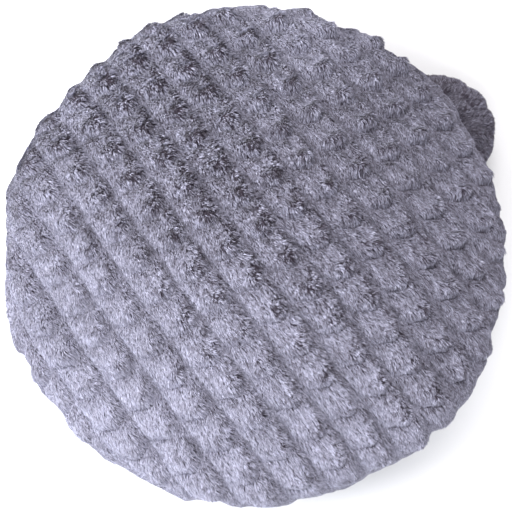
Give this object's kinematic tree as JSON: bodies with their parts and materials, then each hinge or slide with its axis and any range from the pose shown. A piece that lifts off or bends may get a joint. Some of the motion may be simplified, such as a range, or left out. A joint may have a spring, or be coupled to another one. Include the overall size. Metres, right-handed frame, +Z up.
{
  "type": "pet cushion bed",
  "caption": "Round crowned cushion bed with a removable bubble-embossed plush cover, zipped low at the back over a fibre-filled inner pillow.",
  "frame": {"origin": "on the floor under the middle of the bed", "axes": "+Z up through the crown; +X to the right and +Y to the back when the zip is behind"},
  "size_m": [0.5024, 0.5, 0.13],
  "materials": {
    "plush": "deep brushed pile over rounded bubbles",
    "base_cloth": "plain weave",
    "silicone": "satin",
    "label_cloth": "satin weave",
    "zip_tape": "twill tape",
    "zip_teeth": "moulded",
    "zip_metal": "semi-gloss",
    "thread": "spun thread",
    "liner": "nonwoven",
    "liner_thread": "spun thread",
    "fibre": "loose fibre"
  },
  "bodies": {
    "cushion": {"cover_top_panel": "plush", "cover_base_panel": "base_cloth", "grip_dots": "silicone", "care_label": "label_cloth", "zip_tape_upper": "zip_tape", "zip_tape_lower": "zip_tape", "zip_teeth_upper": "zip_teeth", "zip_teeth_lower": "zip_teeth", "zip_top_stops": "zip_metal", "zip_bottom_stop": "zip_metal", "zip_topstitches": "thread", "inner_case_top": "liner", "inner_case_base": "liner", "inner_case_closing_stitches": "liner_thread", "fibre_fill": "fibre"},
    "slider": {"zip_slider": "zip_metal"},
    "pull_tab": {"zip_pull_tab": "zip_metal"}
  },
  "joints": [
    {"name": "zip_travel", "type": "hinge", "parent": "cushion", "child": "slider", "pos_m": [0, 0, 0.024], "axis": [0, 0, 1], "range_deg": [0, 106]},
    {"name": "pull_tab_swing", "type": "hinge", "parent": "slider", "child": "pull_tab", "pos_m": [0.12552, 0.20807, 0.024], "axis": [0, 0, -1], "range_deg": [0, 150]}
  ]
}
